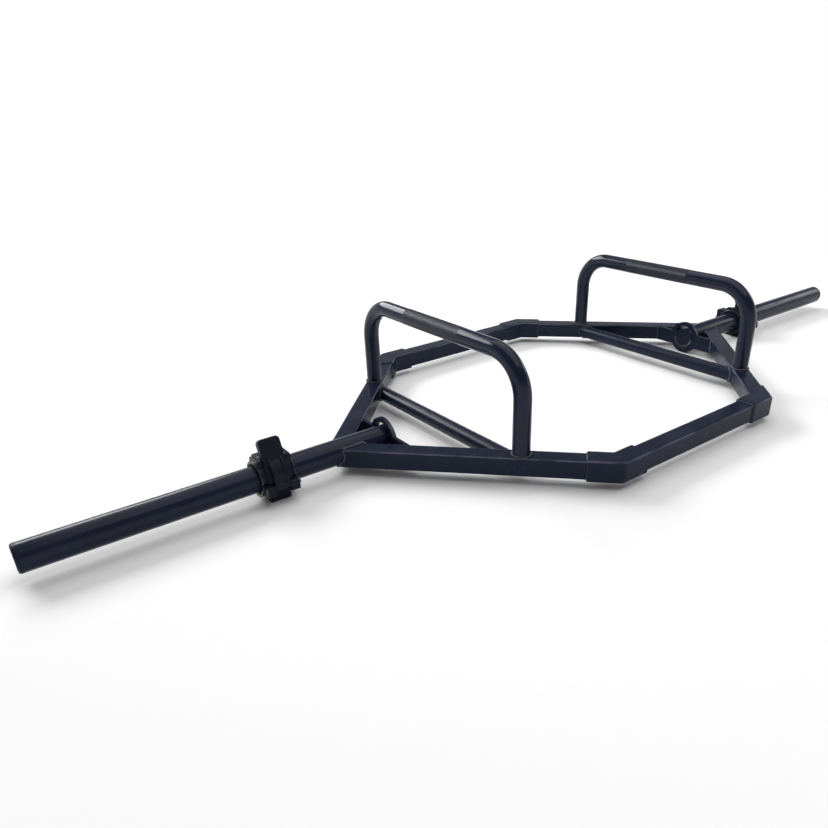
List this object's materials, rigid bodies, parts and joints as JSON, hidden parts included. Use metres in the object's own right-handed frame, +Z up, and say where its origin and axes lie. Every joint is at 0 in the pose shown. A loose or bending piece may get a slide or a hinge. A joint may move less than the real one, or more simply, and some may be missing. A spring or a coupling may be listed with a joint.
{
  "type": "hex trap bar",
  "caption": "Hexagonal trap bar of welded square tube with round loading sleeves, raised and low side handles, and a hinged lever-lock collar on each sleeve.",
  "frame": {"origin": "on the floor, below the middle of the hexagon", "axes": "+X along the sleeves, +Y from the front rail to the rear rail, +Z up"},
  "size_m": [2.312, 0.8004, 0.256],
  "materials": {
    "frame_paint": "satin black",
    "handle_paint": "gloss black",
    "plug_plastic": "black",
    "collar_plastic": "black",
    "liner_rubber": "black",
    "pin_steel": "dark steel"
  },
  "bodies": {
    "frame": {"front_rail": "frame_paint", "rear_rail": "frame_paint", "left_sleeve": "frame_paint", "left_end_plug": "plug_plastic", "left_inner_plug": "plug_plastic", "left_gusset": "frame_paint", "left_high_handle": "handle_paint", "left_low_handle": "handle_paint", "left_front_arm": "frame_paint", "left_front_elbow": "frame_paint", "left_rear_arm": "frame_paint", "left_rear_elbow": "frame_paint", "right_sleeve": "frame_paint", "right_end_plug": "plug_plastic", "right_inner_plug": "plug_plastic", "right_gusset": "frame_paint", "right_high_handle": "handle_paint", "right_low_handle": "handle_paint", "right_front_arm": "frame_paint", "right_front_elbow": "frame_paint", "right_rear_arm": "frame_paint", "right_rear_elbow": "frame_paint"},
    "left_collar": {"left_collar_lower_jaw": "collar_plastic", "left_collar_lower_liner": "liner_rubber", "left_collar_hinge_pin": "pin_steel", "left_collar_lever_pin": "pin_steel"},
    "left_jaw": {"left_collar_upper_jaw": "collar_plastic", "left_collar_upper_liner": "liner_rubber"},
    "left_lever": {"left_collar_lever": "collar_plastic"},
    "right_collar": {"right_collar_lower_jaw": "collar_plastic", "right_collar_lower_liner": "liner_rubber", "right_collar_hinge_pin": "pin_steel", "right_collar_lever_pin": "pin_steel"},
    "right_jaw": {"right_collar_upper_jaw": "collar_plastic", "right_collar_upper_liner": "liner_rubber"},
    "right_lever": {"right_collar_lever": "collar_plastic"}
  },
  "joints": [
    {"name": "left_collar_slide", "type": "slide", "parent": "frame", "child": "left_collar", "axis": [-1, 0, 0], "range_m": [-0.066, 0.38]},
    {"name": "left_lever_hinge", "type": "hinge", "parent": "left_collar", "child": "left_lever", "pos_m": [-0.731, -0.044, 0.036], "axis": [1, 0, 0], "range_deg": [0, 100]},
    {"name": "left_jaw_hinge", "type": "hinge", "parent": "left_collar", "child": "left_jaw", "pos_m": [-0.731, 0.05, 0.042], "axis": [-1, 0, 0], "range_deg": [0, 60]},
    {"name": "right_collar_slide", "type": "slide", "parent": "frame", "child": "right_collar", "axis": [1, 0, 0], "range_m": [-0.066, 0.38]},
    {"name": "right_lever_hinge", "type": "hinge", "parent": "right_collar", "child": "right_lever", "pos_m": [0.731, -0.044, 0.036], "axis": [1, 0, 0], "range_deg": [0, 100]},
    {"name": "right_jaw_hinge", "type": "hinge", "parent": "right_collar", "child": "right_jaw", "pos_m": [0.731, 0.05, 0.042], "axis": [-1, 0, 0], "range_deg": [0, 60]}
  ],
  "couplings": [
    {"joint": "left_jaw_hinge", "follows": "left_lever_hinge", "ratio": 0.6},
    {"joint": "right_jaw_hinge", "follows": "right_lever_hinge", "ratio": 0.6}
  ]
}
